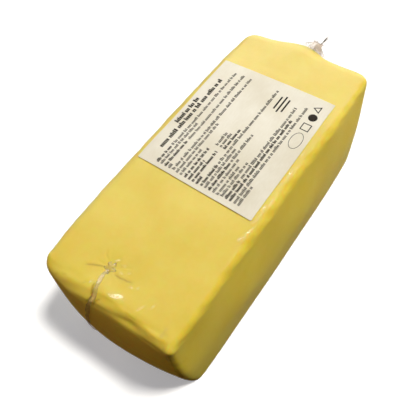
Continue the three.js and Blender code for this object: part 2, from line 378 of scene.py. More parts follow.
def edge_lines(half, low_round, high_round, *parts):
    """Grid lines of one axis: the stops between its edges, and outside them equal turns of the rounds."""
    turns = np.tan(np.arange(1, ROUND_STEPS + 1) * math.pi / 4 / ROUND_STEPS)
    low = (-half + low_round - low_round * turns)[::-1]
    high = half - high_round + high_round * turns
    return np.concatenate([low, stops(*parts), high])


def box_shell(lines):
    """Closed skin of a box: the lattice points on its six faces, numbered once, and quads that point out."""
    counts = [len(axis) for axis in lines]
    quads = []
    for axis in range(3):
        second, third = (axis + 1) % 3, (axis + 2) % 3
        b, c = np.meshgrid(np.arange(counts[second]), np.arange(counts[third]), indexing="ij")
        for end in (0, counts[axis] - 1):
            place = {axis: np.full_like(b, end), second: b, third: c}
            ids = np.ravel_multi_index([place[0], place[1], place[2]], counts)
            quad = np.stack([ids[:-1, :-1], ids[1:, :-1], ids[1:, 1:], ids[:-1, 1:]], -1).reshape(-1, 4)
            quads.append(quad if end else quad[:, ::-1])
    used, faces = np.unique(np.concatenate(quads), return_inverse=True)
    at = np.unravel_index(used, counts)
    points = np.stack([np.asarray(line)[index] for line, index in zip(lines, at)], -1)
    return points, faces.reshape(-1, 4)


def round_edges(points):
    """Box with round edges: its core, plus the way out over the root of its powers' sum, times the radius.

    The power is 2 for a true arc; it grows towards +X and -Y, where the film has pulled the edges square.
    """
    radius = np.full(points.shape, EDGE_ROUND)
    radius[..., 2] = np.where(points[..., 2] < 0, FOOT_ROUND, EDGE_ROUND)
    core = np.clip(points, radius - HALF, HALF - radius)
    way = (points - core) / radius
    out = unit(way)
    right = smooth(out[..., 0], 0, CRISP_REACH) * smooth(out[..., 2], -CRISP_REACH, 0)
    right = right * (1 - smooth(out[..., 1], 0, CRISP_REACH)) * smooth(points[..., 2], *CRISP_FROM_Z)
    near = smooth(-out[..., 1], 0, CRISP_REACH) * smooth(out[..., 2], -CRISP_REACH, 0)
    power = (ROUND_POWER + RIGHT_CRISPNESS * right + NEAR_CRISPNESS * near)[..., None]
    reach = (np.abs(way) ** power).sum(-1, keepdims=True) ** (1 / power)
    return core + way / reach * radius, out


def lean_in(points):
    """Right and near sides lean in at their tops: a smooth ramp over the edge, times one up the side."""
    x, y = points[..., 0], points[..., 1]
    upward = smooth(points[..., 2], LEAN_START_Z, HEIGHT)
    right_share = 1 - LEAN_FAR_SHARE * smooth(y, 0, HALF[1])
    near_share = smooth(x, *NEAR_LEAN_FROM) * (1 - NEAR_LEAN_LOSS * smooth(x, *NEAR_LEAN_OVER))
    moved = points.copy()
    moved[..., 0] -= RIGHT_LEAN * smooth(x, HALF[0] - EDGE_ROUND, HALF[0]) * upward * right_share
    moved[..., 1] += NEAR_LEAN * smooth(-y, HALF[1] - EDGE_ROUND, HALF[1]) * upward * near_share
    return moved


def swell_faces(points):
    """Each face bulges by its swell times 1 - u^2 on its two axes; upright corners draw in by (ux uy)^6."""
    x, y, z = np.moveaxis(points / HALF, -1, 0)
    across, along, upright = 1 - x * x, 1 - y * y, 1 - z * z
    near_pull = np.where(x < 0, *NEAR_PULL)
    far_pull = np.where(x < 0, *FAR_PULL)
    pull = np.where(y < 0, near_pull, far_pull) * (x * y) ** CORNER_SHARPNESS
    end_swell = np.where(y < 0, -NEAR_SWELL, FAR_SWELL)
    skew = NEAR_SKEW * x * np.clip(-y, 0, 1) ** 2 * (1 - np.clip(x, 0, 1) * upright)
    moved = points.copy()
    moved[..., 0] += np.sign(x) * (SIDE_SWELL * x * x * along * upright - pull)
    moved[..., 1] += end_swell * y * y * across * upright + skew - np.sign(y) * pull
    moved[..., 2] += TOP_SWELL * np.clip(z, 0, 1) ** 2 * across * along
    return moved


def neck_distance(points):
    """Distance of each point from the neck's line: its offset without the part along the line."""
    offset = points - NECK_FOOT
    return np.linalg.norm(offset - (offset @ NECK_AXIS)[..., None] * NECK_AXIS, axis=-1)


def draw_out_neck(points, hump_share, peak_share):
    """Far top edge drawn up and out: a bell-shaped hump on a tilted way, then a peak at the neck's line."""
    farness = np.clip((points[..., 1] - HUMP_START_Y) / (HUMP_FULL_Y - HUMP_START_Y), 0, 1)
    at_far_top = farness * smooth(points[..., 2], HUMP_START_Z, HUMP_Z)
    reach = bell(points[..., 0] - HUMP_X, HUMP_SPREAD_X) * bell(points[..., 2] - HUMP_Z, HUMP_SPREAD_Z)
    hump = hump_share * HUMP_RISE * reach * at_far_top
    moved = points + hump[..., None] * np.array([0, math.cos(HUMP_TILT), math.sin(HUMP_TILT)])
    peak = peak_share * PEAK_RISE * bell(neck_distance(moved), PEAK_SPREAD) * at_far_top
    return moved + peak[..., None] * NECK_AXIS


def skin(grid, hump_share=1.0, peak_share=1.0):
    """The bag's skin over a box: seam drift, round edges, swelling, lean, neck and unevenness, in turn."""
    x, y, z = np.moveaxis(grid, -1, 0)
    drift = SEAM_DRIFT * (0.5 - z / HEIGHT) * smooth(-y, -PUCKER_Y, HALF[1]) * bell(x - SEAM_X, SEAM_REACH)
    points, out = round_edges(grid + np.stack([drift, 0 * drift, 0 * drift], -1))
    points = swell_faces(points)
    points[..., 2] += HALF[2]
    points = draw_out_neck(lean_in(points), hump_share, peak_share)
    height = points[..., 2]
    on_top = height > HALF[2]
    pucker = PUCKER_DEPTH * bell(np.hypot(x - SEAM_X, y - PUCKER_Y), PUCKER_RADIUS) * on_top
    along = np.sin(2 * math.pi * points[..., 1] / UNEVEN_WAVE_ALONG)
    around = np.sin(2 * math.pi * (points[..., 0] + height) / UNEVEN_WAVE_ROUND)
    uneven = UNEVEN_RISE * along * around * smooth(height, 0, UNEVEN_FADE)
    return points + out * (uneven - pucker)[..., None], out


def unroll(grid):
    """Near end laid flat: y on the top face, going on down the near face; and where those two faces are."""
    along = np.where(grid[..., 1] > -HALF[1], grid[..., 1], -HALF[1] - (HALF[2] - grid[..., 2]))
    shown = (grid[..., 2] >= HALF[2]) | (grid[..., 1] <= -HALF[1])
    return along, shown


def from_line(x, y, line):
    """Distance from a line of points, with the share of the way along it and the side, where nearest."""
    line = np.array(line)
    lengths = np.linalg.norm(np.diff(line, axis=0), axis=-1)
    starts = np.concatenate([[0], np.cumsum(lengths)[:-1]])
    best = np.full(x.shape, np.inf)
    share = np.zeros(x.shape)
    side = np.zeros(x.shape)
    for (x0, y0), (x1, y1), length, start in zip(line[:-1], line[1:], lengths, starts):
        way_x, way_y = (x1 - x0) / length, (y1 - y0) / length
        t = np.clip((x - x0) * way_x + (y - y0) * way_y, 0, length)
        distance = np.hypot(x - x0 - t * way_x, y - y0 - t * way_y)
        nearer = distance < best
        best = np.where(nearer, distance, best)
        share = np.where(nearer, (start + t) / lengths.sum(), share)
        side = np.where(nearer, np.sign((x - x0) * way_y - (y - y0) * way_x), side)
    return best, share, side


def fold_relief(grid):
    """Folds: a ridge beside a groove across each line, fading at its ends; with painted shade, and milk that
    paints highlights.
    """
    along, shown = unroll(grid)
    rise, shade, milk = (np.zeros(along.shape) for _ in range(3))
    for half_width, height, dark, pale, line in FOLDS:
        distance, share, side = from_line(grid[..., 0], along, line)
        fade = smooth(share, 0, FOLD_FADE) * smooth(1 - share, 0, FOLD_FADE) * shown
        ridge = bell(distance - half_width * side, half_width)
        groove = bell(distance + half_width * side, half_width)
        rise += height * fade * (0.6 * ridge - groove)
        shade = np.maximum(shade, dark * fade * bell(distance, half_width))
        # Whitish milk of the folds: painted highlight streaks and specks
        milk = np.maximum(milk, pale * fade * bell(distance, 1.3 * half_width))
    return rise, shade, milk


def sparkles():
    """Small facets strewn at random, from a fixed seed, along the right edge."""
    rng = np.random.default_rng(SEED)
    ranges = (SPARKLE_X, SPARKLE_Y, SPARKLE_LENGTH, SPARKLE_WIDTH, SPARKLE_TURN)
    drawn = [rng.uniform(*span, SPARKLE_COUNT) for span in ranges]
    slopes = [rng.normal(0, SPARKLE_SLOPE, SPARKLE_COUNT) for _ in range(2)]
    return tuple(zip(*drawn, *slopes, rng.uniform(*SPARKLE_SHINE, SPARKLE_COUNT)))


def facet_relief(grid, points, out):
    """Facets: the rise from the skin to a tilted plane through each patch's middle, times e^-r^4.

    Where patches overlap, the stronger one gives the rise. Also how flat and how shiny each place is.
    """
    along, shown = unroll(grid)
    rise, flat, shine = (np.zeros(along.shape) for _ in range(3))
    for x, y, half_length, half_width, turn, slope_x, slope_y, gloss in FACETS + sparkles():
        middle = on_near(np.array([x]), np.array([y]), np.zeros(1))[0]
        level = unit(np.array([slope_x, slope_y, 1.0]))
        dx, dy = grid[..., 0] - x, along - y
        cos, sin = math.cos(math.radians(turn)), math.sin(math.radians(turn))
        radius = np.hypot((dx * cos + dy * sin) / half_length, (dy * cos - dx * sin) / half_width)
        patch = np.exp(-np.minimum(radius, 3) ** 4) * (out[..., 2] > 0.3) * shown
        to_plane = (middle - points) @ level / np.maximum(out @ level, 0.3)
        rise = np.where(patch > flat, patch * to_plane, rise)
        flat = np.maximum(flat, patch)
        shine = np.maximum(shine, gloss * patch)
    return rise, flat, shine


def ray_relief(grid):
    """Small wrinkles that run out from the pucker: cosines of the angle round it, in a ring-shaped window."""
    along, shown = unroll(grid)
    dx, dy = grid[..., 0] - KNOT_PLACE[0], along - KNOT_PLACE[1]
    distance, angle = np.hypot(dx, dy), np.arctan2(dy, dx)
    window = smooth(distance, 0.5, RAY_INNER) * (1 - smooth(distance, RAY_INNER, RAY_OUTER))
    rays = sum(np.cos(count * angle + 1.7 * count) for count in RAY_COUNTS)
    return RAY_RISE * rays * window * shown


def lump_relief(points, out):
    """Lumps along the rounded edges: seeded plane waves, where no single axis owns the way out."""
    rng = np.random.default_rng(SEED)
    edge = smooth(1 - np.abs(out).max(-1), *LUMP_EDGE)
    upper = smooth(out[..., 2], *LUMP_WINDOW)
    near = smooth(-out[..., 1], *LUMP_WINDOW) * upper
    near = near * (NEAR_LUMP_LEAST + (1 - NEAR_LUMP_LEAST) * smooth(points[..., 0], *NEAR_LUMP_FROM))
    right = smooth(out[..., 0], *LUMP_WINDOW) * upper
    gain = 1 + (NEAR_LUMP_GAIN - 1) * near + (RIGHT_LUMP_GAIN - 1) * right * (1 - near)
    waves = np.zeros(edge.shape)
    for length in LUMP_WAVES:
        way = unit(rng.normal(size=3))
        waves += np.sin(2 * math.pi * (points @ way) / length + rng.uniform(0, 2 * math.pi))
    clear = smooth(points[..., 2], *LUMP_CLEAR_Z)
    return LUMP_RISE * gain * edge * clear * waves / math.sqrt(len(LUMP_WAVES))


def pleat_relief(points):
    """Pleats round the neck's foot: cosines of the angle round its line, fading away from it."""
    side = unit(np.cross(NECK_AXIS, [0.0, 0.0, 1.0]))
    up = np.cross(side, NECK_AXIS)
    offset = points - NECK_FOOT
    angle = np.arctan2(offset @ up, offset @ side)
    distance = neck_distance(points)
    far = smooth(points[..., 1], *NECK_PLEAT_Y) * smooth(points[..., 2], *NECK_PLEAT_Z)
    pleats = np.cos(NECK_PLEATS * angle + 0.6) + 0.6 * np.cos((NECK_PLEATS + 4) * angle)
    window = bell(distance, NECK_PLEAT_REACH) * smooth(distance, *NECK_PLEAT_START) * far
    return NECK_PLEAT_RISE * pleats * window


def linear(colour):
    """A linear colour with alpha from an sRGB hex value, by the sRGB curve."""
    srgb = np.array([int(colour[i:i + 2], 16) / 255 for i in (1, 3, 5)])
    rgb = np.where(srgb <= 0.04045, srgb / 12.92, ((srgb + 0.055) / 1.055) ** 2.4)
    return (*rgb.tolist(), 1.0)


def new_material(name):
    """An empty node material and its node tree."""
    material = bpy.data.materials.new(name)
    material.use_nodes = True
    material.node_tree.nodes.clear()
    return material, material.node_tree


def add(tree, kind, inputs, **settings):
    """Adds a node with its settings; each input takes a value, or a link from another node's output."""
    made = tree.nodes.new("ShaderNode" + kind)
    for name, value in settings.items():
        setattr(made, name, value)
    for name, value in inputs.items():
        if isinstance(value, bpy.types.NodeSocket):
            tree.links.new(value, made.inputs[name])
        else:
            made.inputs[name].default_value = value
    return made


def per_mm(size):
    """Texture scale for features of that size in millimetres, on coordinates in metres."""
    return 1 / (size * MM)


def mozzarella():
    """Pressed low-moisture curd: waxy butter yellow, faintly mottled where curds joined, translucent."""
    material, tree = new_material("low_moisture_mozzarella")
    place = add(tree, "TexCoord", {}).outputs["Object"]
    curd = add(tree, "TexNoise", {"Vector": place, "Scale": per_mm(26), "Detail": 3.0, "Roughness": 0.55})
    grain = add(tree, "TexNoise", {"Vector": place, "Scale": per_mm(2.4), "Detail": 4.0, "Roughness": 0.6})
    patch = add(tree, "MapRange", {"Value": curd.outputs["Fac"], "From Min": 0.3, "From Max": 0.7})
    body = add(tree, "Mix", {"Factor": patch.outputs["Result"], "A": linear("#E2C940"),
                             "B": linear("#E8D252")}, data_type="RGBA")
    speck = add(tree, "MapRange", {"Value": grain.outputs["Fac"], "From Min": 0.45, "From Max": 0.8,
                                   "To Max": 0.12})
    colour = add(tree, "Mix", {"Factor": speck.outputs["Result"], "A": body.outputs["Result"],
                               "B": linear("#EEDC7C")}, data_type="RGBA")
    bump = add(tree, "Bump", {"Strength": 0.12, "Distance": 0.15 * MM, "Height": grain.outputs["Fac"]})
    shader = add(tree, "BsdfPrincipled", {
        "Base Color": colour.outputs["Result"], "Normal": bump.outputs["Normal"], "Roughness": 0.55,
        "Specular IOR Level": 0.2, "Subsurface Weight": 0.75, "Subsurface Radius": (1.0, 0.55, 0.18),
        "Subsurface Scale": 2.0 * MM})
    add(tree, "OutputMaterial", {"Surface": shader.outputs["BSDF"]})
    return material


def shrink_film():
    """Clear shrink film: satin where it clings, glossy where slack; painted shade darkens folds, haze and
    painted highlights whiten it.
    """
    material, tree = new_material("clear_shrink_film")
    place = add(tree, "TexCoord", {}).outputs["Object"]
    shade = add(tree, "Attribute", {}, attribute_name="fold_shade").outputs["Fac"]
    milk = add(tree, "Attribute", {}, attribute_name="film_milk").outputs["Fac"]
    slack = add(tree, "Attribute", {}, attribute_name="film_slack").outputs["Fac"]
    rough = add(tree, "MapRange", {"Value": slack, "From Max": 0.6, "To Min": 0.6, "To Max": 0.2})
    ripple = add(tree, "TexNoise", {"Vector": place, "Scale": per_mm(7), "Detail": 3.0, "Roughness": 0.5})
    bump = add(tree, "Bump", {"Strength": 0.35, "Distance": 0.25 * MM, "Height": ripple.outputs["Fac"]})
    slant = add(tree, "LayerWeight", {"Blend": 0.5, "Normal": bump.outputs["Normal"]})
    steep = add(tree, "Math", {0: slant.outputs["Facing"], 1: 5.0}, operation="POWER")
    face_on = add(tree, "MapRange", {"Value": slack, "From Max": 0.6, "To Min": 0.018, "To Max": 0.09})
    mirror = add(tree, "Math", {0: steep.outputs[0], 1: 0.25, 2: face_on.outputs["Result"]},
                 operation="MULTIPLY_ADD")
    # Brown tint: painted shade along folds, flap edges and knot valleys, partly the doubled film's own tint
    tint = add(tree, "Mix", {"Factor": shade, "A": linear("#FFFFFF"), "B": linear("#8C6A34")},
               data_type="RGBA")
    clear = add(tree, "BsdfTransparent", {"Color": tint.outputs["Result"]})
    gloss = add(tree, "BsdfGlossy", {"Color": linear("#FFFFFF"), "Roughness": rough.outputs["Result"],
                                     "Normal": bump.outputs["Normal"]})
    sheet = add(tree, "MixShader", {0: mirror.outputs[0], 1: clear.outputs[0], 2: gloss.outputs[0]})
    # Whitish haze: the film's layers, and the painted highlight streaks and specks of the folds
    haze = add(tree, "BsdfPrincipled", {"Base Color": linear("#DED0C0"), "Roughness": 0.3,
                                        "Normal": bump.outputs["Normal"]})
    whole = add(tree, "MixShader", {0: milk, 1: sheet.outputs[0], 2: haze.outputs["BSDF"]})
    add(tree, "OutputMaterial", {"Surface": whole.outputs[0]})
    return material


def gathered_film():
    """Film lying many layers deep: greyish beige, glossy and finely crinkled, lit from both sides."""
    material, tree = new_material("gathered_shrink_film")
    place = add(tree, "TexCoord", {}).outputs["Object"]
    crinkle = add(tree, "TexNoise", {"Vector": place, "Scale": per_mm(1.6), "Detail": 4.0, "Roughness": 0.6})
    layers = add(tree, "Attribute", {}, attribute_name="film_layers").outputs["Fac"]
    uneven = add(tree, "MapRange", {"Value": crinkle.outputs["Fac"], "From Min": 0.3, "From Max": 0.7,
                                    "To Min": 0.6, "To Max": 1.1})
    layer = add(tree, "Math", {0: layers, 1: uneven.outputs["Result"]}, operation="MULTIPLY", use_clamp=True)
    colour = add(tree, "Mix", {"Factor": crinkle.outputs["Fac"], "A": linear("#CDBAAA"),
                               "B": linear("#F0E7DE")}, data_type="RGBA")
    bump = add(tree, "Bump", {"Strength": 0.5, "Distance": 0.2 * MM, "Height": crinkle.outputs["Fac"]})
    clear = add(tree, "BsdfTransparent", {"Color": linear("#FFFFFF")})
    haze = add(tree, "BsdfPrincipled", {"Base Color": colour.outputs["Result"], "Roughness": 0.22,
                                        "Normal": bump.outputs["Normal"], "IOR": 1.5})
    lit_through = add(tree, "BsdfTranslucent", {"Color": colour.outputs["Result"]})
    milky = add(tree, "MixShader", {0: 0.45, 1: haze.outputs["BSDF"], 2: lit_through.outputs[0]})
    whole = add(tree, "MixShader", {0: layer.outputs[0], 1: clear.outputs[0], 2: milky.outputs[0]})
    add(tree, "OutputMaterial", {"Surface": whole.outputs[0]})
    return material


def label_paper():
    """Uncoated sticker paper: warm off-white, faint fibres and a soft cloudy formation, quite matt."""
    material, tree = new_material("sticker_paper")
    place = add(tree, "TexCoord", {}).outputs["Object"]
    drawn = add(tree, "Mapping", {"Vector": place, "Scale": (1.0, 0.25, 1.0)})
    fibre = add(tree, "TexNoise", {"Vector": drawn.outputs["Vector"], "Scale": per_mm(0.9), "Detail": 4.0})
    cloud = add(tree, "TexNoise", {"Vector": place, "Scale": per_mm(22), "Detail": 2.0})
    mixed = add(tree, "Math", {0: fibre.outputs["Fac"], 1: 0.35, 2: cloud.outputs["Fac"]},
                operation="MULTIPLY_ADD")
    shade = add(tree, "MapRange", {"Value": mixed.outputs[0], "From Min": 0.45, "From Max": 0.95})
    colour = add(tree, "Mix", {"Factor": shade.outputs["Result"], "A": linear("#DCD5C0"),
                               "B": linear("#EAE6D7")}, data_type="RGBA")
    bump = add(tree, "Bump", {"Strength": 0.2, "Distance": 0.05 * MM, "Height": fibre.outputs["Fac"]})
    shader = add(tree, "BsdfPrincipled", {"Base Color": colour.outputs["Result"], "Roughness": 0.6,
                                          "Specular IOR Level": 0.3, "Normal": bump.outputs["Normal"]})
    add(tree, "OutputMaterial", {"Surface": shader.outputs["BSDF"]})
    return material


def print_ink():
    """Dark thermal print on paper: warm charcoal, a little uneven where dots are missing."""
    material, tree = new_material("print_ink")
    place = add(tree, "TexCoord", {}).outputs["Object"]
    dots = add(tree, "TexNoise", {"Vector": place, "Scale": per_mm(0.7), "Detail": 2.0})
    colour = add(tree, "Mix", {"Factor": dots.outputs["Fac"], "A": linear("#15110C"), "B": linear("#372F25")},
                 data_type="RGBA")
    shader = add(tree, "BsdfPrincipled", {"Base Color": colour.outputs["Result"], "Roughness": 0.7,
                                          "Specular IOR Level": 0.06})
    add(tree, "OutputMaterial", {"Surface": shader.outputs["BSDF"]})
    return material


def pale_floor():
    """Pale acrylic sheet of a light table: faint grain, and a glow that lifts the shadow and grows outwards."""
    material, tree = new_material("studio_floor")
    place = add(tree, "TexCoord", {}).outputs["Object"]
    grain = add(tree, "TexNoise", {"Vector": place, "Scale": per_mm(40), "Detail": 2.0})
    colour = add(tree, "Mix", {"Factor": grain.outputs["Fac"], "A": linear("#F6F6F6"),
                               "B": linear("#FCFCFC")}, data_type="RGBA")
    away = add(tree, "VectorMath", {0: place}, operation="LENGTH")
    glow = add(tree, "MapRange", {"Value": away.outputs["Value"],
                                  "From Min": GLOW_REACH[0], "From Max": GLOW_REACH[1],
                                  "To Min": FLOOR_GLOW[0], "To Max": FLOOR_GLOW[1]})
    shader = add(tree, "BsdfPrincipled", {"Base Color": colour.outputs["Result"], "Roughness": 0.9,
                                          "Specular IOR Level": 0.0, "Emission Color": linear("#EAF3FF"),
                                          "Emission Strength": glow.outputs["Result"]})
    add(tree, "OutputMaterial", {"Surface": shader.outputs["BSDF"]})
    return material


def make_piece(name, points, faces, material, crisp=None, **attributes):
    """A mesh from points in millimetres and faces, smooth but for edges sharper than crisp, with its values."""
    mesh = bpy.data.meshes.new(name)
    mesh.from_pydata((np.asarray(points) * MM).tolist(), [], [list(face) for face in faces])
    for key, values in attributes.items():
        layer = mesh.attributes.new(key, "FLOAT", "POINT")
        layer.data.foreach_set("value", np.clip(values, 0, 1).astype(np.float32))
    mesh.shade_smooth()
    if crisp is not None:
        mesh.set_sharp_from_angle(angle=math.radians(crisp))
    mesh.materials.append(material)
    piece = bpy.data.objects.new(name, mesh)
    bpy.context.scene.collection.objects.link(piece)
    return piece


def skin_grid():
    """Grid of the film's skin: close lines round the pucker and along the near edge, wider elsewhere."""
    flat = HALF - EDGE_ROUND
    low = -HALF[2] + FOOT_ROUND
    return box_shell((
        edge_lines(HALF[0], EDGE_ROUND, EDGE_ROUND, (-flat[0], -26.0, EDGE_STEP), (-26.0, 28.0, FOLD_STEP),
                   (28.0, flat[0], EDGE_STEP)),
        edge_lines(HALF[1], EDGE_ROUND, EDGE_ROUND, (-flat[1], -78.0, FOLD_STEP), (-78.0, 90.0, LENGTH_STEP),
                   (90.0, flat[1], EDGE_STEP)),
        edge_lines(HALF[2], FOOT_ROUND, EDGE_ROUND, (low, 20.0, FACE_STEP), (20.0, flat[2], EDGE_STEP)),
    ))


def film_and_cheese(clear_film):
    """The film: the skin with folds, facets, rays, lumps and pleats; the cheese follows its hollows."""
    grid, faces = skin_grid()
    points, out = skin(grid)
    folds, shade, milk = fold_relief(grid)
    lumps = lump_relief(points, out)
    rays = ray_relief(grid)
    facets, flat, shine = facet_relief(grid, points, out)
    seam = SEAM_WELT * bell(grid[..., 0] - SEAM_X, SEAM_HALF_WIDTH)
    welt = seam * smooth(-grid[..., 1], -PUCKER_Y, HALF[1]) * smooth(points[..., 2], FOOT_ROUND, HALF[2])
    relief = folds + rays + lumps + welt + pleat_relief(points)
    film = points + out * (facets + relief * (1 - flat))[..., None]
    # Milk: real haze of the gathered film at the neck, plus the folds' painted highlights
    neck_milk = NECK_MILK * bell(neck_distance(points), NECK_MILK_SPREAD)
    neck_milk = neck_milk * smooth(points[..., 1], *NECK_MILK_Y)
    milk = np.maximum(milk, neck_milk * smooth(points[..., 2], *NECK_MILK_Z))
    curd, curd_out = skin(grid, CHEESE_HUMP, CHEESE_PEAK)
    hollow = np.minimum((folds + rays) * (1 - flat) + facets, 0) + lumps * (1 - flat)
    curd = curd + curd_out * (hollow - FILM_GAP)[..., None]
    cheese = make_piece("cheese", curd, faces, mozzarella())
    wrap = make_piece("film", film, faces, clear_film, fold_shade=shade, film_milk=milk,
                      film_slack=np.maximum(shine, neck_milk))
    return cheese, wrap


def on_near(x, along, lift):
    """Points of the film at places (x, unrolled y) of the top and near faces, lifted along the way out."""
    over = along < -HALF[1]
    y = np.where(over, -HALF[1], along)
    z = np.where(over, HALF[2] + HALF[1] + along, HALF[2])
    grid = np.stack([x, y, z], -1)
    points, out = skin(grid)
    return points + out * lift[..., None]


def seam_flap():
    """Flap of the bag's seam: a thin strip carried along its line, with wavy edges in painted shade, one
    raised.
    """
    line = np.array(FLAP_LINE)
    lengths = np.concatenate([[0], np.cumsum(np.linalg.norm(np.diff(line, axis=0), axis=-1))])
    s = np.linspace(0, lengths[-1], FLAP_STEPS)
    middle = np.stack([np.interp(s, lengths, line[:, axis]) for axis in range(2)], -1)
    taper = smooth(s, *FLAP_TAPER[0]) * smooth(lengths[-1] - s, *FLAP_TAPER[1])
    wave = 1 + 0.16 * np.sin(s / 2.3) + 0.10 * np.sin(s / 1.1 + 1)
    across = np.linspace(-1, 1, FLAP_ACROSS)
    half = (FLAP_HALF_WIDTH * taper * wave)[:, None] * across
    x = middle[:, :1] + half
    along = np.broadcast_to(middle[:, 1:], x.shape) + FLAP_SWAY * np.sin(s / 1.7)[:, None] * across
    curl = FLAP_CURL * np.clip(across, 0, 1) ** 2 + FLAP_FLUTTER * np.sin(s / 2.9)[:, None] * across ** 2
    crinkle = FLAP_CRINKLE * np.sin(s[:, None] / 0.8 + 2.5 * across) * np.sin(s[:, None] / 2.1 - across)
    low = FLAP_STAND + curl + crinkle
    faces_of = [on_near(x, along, low), on_near(x, along, low + FLAP_THICKNESS)]
    loop = np.concatenate([faces_of[1], faces_of[0][:, ::-1]], 1)
    # Painted shade along the flap's edges, coming and going along its length
    painted_shade = np.tile(smooth(np.abs(across), 0.5, 1), 2) * (0.6 + 0.4 * np.sin(s / 1.3))[:, None]
    return *strip_shell(loop), painted_shade.ravel()


def strip_shell(loops):
    """Closed surface through rings of points: quads from ring to ring, and one face over each end."""
    count, sides = loops.shape[:2]
    ids = np.arange(count * sides).reshape(count, sides)
    turned = np.roll(ids, -1, axis=1)
    quads = np.stack([ids[:-1], turned[:-1], turned[1:], ids[1:]], -1).reshape(-1, 4)
    return loops.reshape(-1, 3), [*quads.tolist(), ids[0][::-1].tolist(), ids[-1].tolist()]


def lathe_shell(rings, start, end):
    """Closed surface through rings of points, shut by a fan of triangles to a point at either end."""
    count, sides = rings.shape[:2]
    ids = np.arange(count * sides).reshape(count, sides)
    turned = np.roll(ids, -1, axis=1)
    quads = np.stack([ids[:-1], turned[:-1], turned[1:], ids[1:]], -1).reshape(-1, 4)
    first, last = count * sides, count * sides + 1
    fan_in = np.stack([turned[0], ids[0], np.full(sides, first)], -1)
    fan_out = np.stack([ids[-1], turned[-1], np.full(sides, last)], -1)
    points = np.concatenate([rings.reshape(-1, 3), [start, end]])
    return points, [*quads.tolist(), *fan_in.tolist(), *fan_out.tolist()]


def knot_shell():
    """Knot of gathered film: a low dome whose radius and height swing with the angle, set into the pucker."""
    angle = np.linspace(0, 2 * math.pi, KNOT_SIDES, endpoint=False)
    share = np.linspace(1.0, KNOT_TIP, KNOT_RINGS)[:, None]
    lobes = 1 + 0.24 * np.cos(KNOT_LOBES * angle + 0.5) + 0.12 * np.cos((KNOT_LOBES + 4) * angle)
    radius = KNOT_RADIUS * share * lobes
    swing = 0.8 + 0.3 * np.cos(KNOT_LOBES * angle + 2)
    height = KNOT_HEIGHT * (1 - share ** KNOT_BULGE) * swing - KNOT_SINK * share
    dome = on_near(KNOT_PLACE[0] + radius * np.cos(angle), KNOT_PLACE[1] + radius * np.sin(angle), height)
    centre = np.array([[KNOT_PLACE[0]], [KNOT_PLACE[1]]])
    low = on_near(*centre, np.array([KNOT_FOOT]))[0]
    high = on_near(*centre, np.array([KNOT_CROWN * KNOT_HEIGHT]))[0]
    # Painted shade in the valleys between the knot's lobes
    painted_shade = np.broadcast_to(smooth(-np.cos(KNOT_LOBES * angle + 2), -0.2, 0.8), radius.shape)
    return *lathe_shell(dome, low, high), np.append(painted_shade.ravel(), [1, 0])


def tail_shell():
    """Gathered neck and frill: a thin profile turned round the neck's line, pleated by cosines."""
    angle = np.linspace(0, 2 * math.pi, TAIL_SIDES, endpoint=False)
    t = np.linspace(0, 1, TAIL_STEPS)
    cone = np.stack([NECK_RADIUS + (ROOT_RADIUS - NECK_RADIUS) * (1 - t) ** 2,
                     NECK_ROOT + (NECK_LENGTH - NECK_ROOT) * t], -1)
    frill = np.stack([NECK_RADIUS + (FRILL_RADIUS - NECK_RADIUS) * t ** FRILL_CURVE,
                      NECK_LENGTH + FRILL_LENGTH * t], -1)[1:]
    inside = (frill - [TAIL_WALL, 0])[::-1]
    profile = np.concatenate([cone, frill, inside])
    radius, s = profile[:, :1], profile[:, 1:]
    gathered = smooth(s, NECK_ROOT, NECK_LENGTH)
    frilled = np.clip((s - NECK_LENGTH) / FRILL_LENGTH, 0, 1)
    pleats = np.cos(TAIL_PLEATS * angle) + 0.45 * np.cos((2 * TAIL_PLEATS - 3) * angle + 1.2)
    turned = radius * (1 + TAIL_PLEAT_DEPTH * gathered * pleats)
    facing = np.clip(np.cos(angle - LONG_PLEAT_ANGLE), 0, 1) ** LONG_PLEAT_SHARPNESS
    ragged = sum(rise * np.cos(count * angle + start) for count, rise, start in RAGGED_EDGE)
    height = s + frilled * (LONG_PLEAT * facing + FRILL_LENGTH * (ragged - EDGE_SINK))
    turn = np.array(Vector((0, 1, 0)).rotation_difference(Vector(NECK_AXIS)).to_matrix())
    height = np.broadcast_to(height, turned.shape)
    rings = np.stack([turned * np.sin(angle), height, turned * np.cos(angle)], -1)
    pit = [0, NECK_LENGTH + TAIL_WALL, 0]
    points, faces = lathe_shell(rings, [0, NECK_ROOT, 0], pit)
    foot = FOOT_LAYERS + (1 - FOOT_LAYERS) * smooth(s, NECK_ROOT, 0.5 * NECK_LENGTH)
    thin = 1 - FRILL_THINNING * smooth(s, NECK_LENGTH - 1, NECK_LENGTH + 2)
    layers = NECK_LAYERS * np.maximum(foot * thin, STRAND_LAYERS * facing * frilled)
    return points @ turn.T + NECK_FOOT, faces, np.append(layers.ravel(), [1, 1])


def on_label(x, y, lift):
    """Points above the film at places (x, y) of the top face: lifted, with the paper's cockle added."""
    points, out = skin(np.stack([x, y, np.full_like(x, HALF[2])], -1))
    cockle = COCKLE_RISE * (1 + np.sin(2 * math.pi * (x + 0.6 * y) / COCKLE_WAVES[0])
                            * np.sin(2 * math.pi * (y - 0.3 * x) / COCKLE_WAVES[1]))
    return points + out * (lift + cockle)[..., None]


def label_shell():
    """Paper of the label: a thin closed sheet that bends with the film."""
    grid, faces = box_shell((stops((*LABEL_X, LABEL_STEP)), stops((*LABEL_Y, LABEL_STEP)), LABEL_LIFT))
    return on_label(grid[..., 0], grid[..., 1], grid[..., 2]), faces


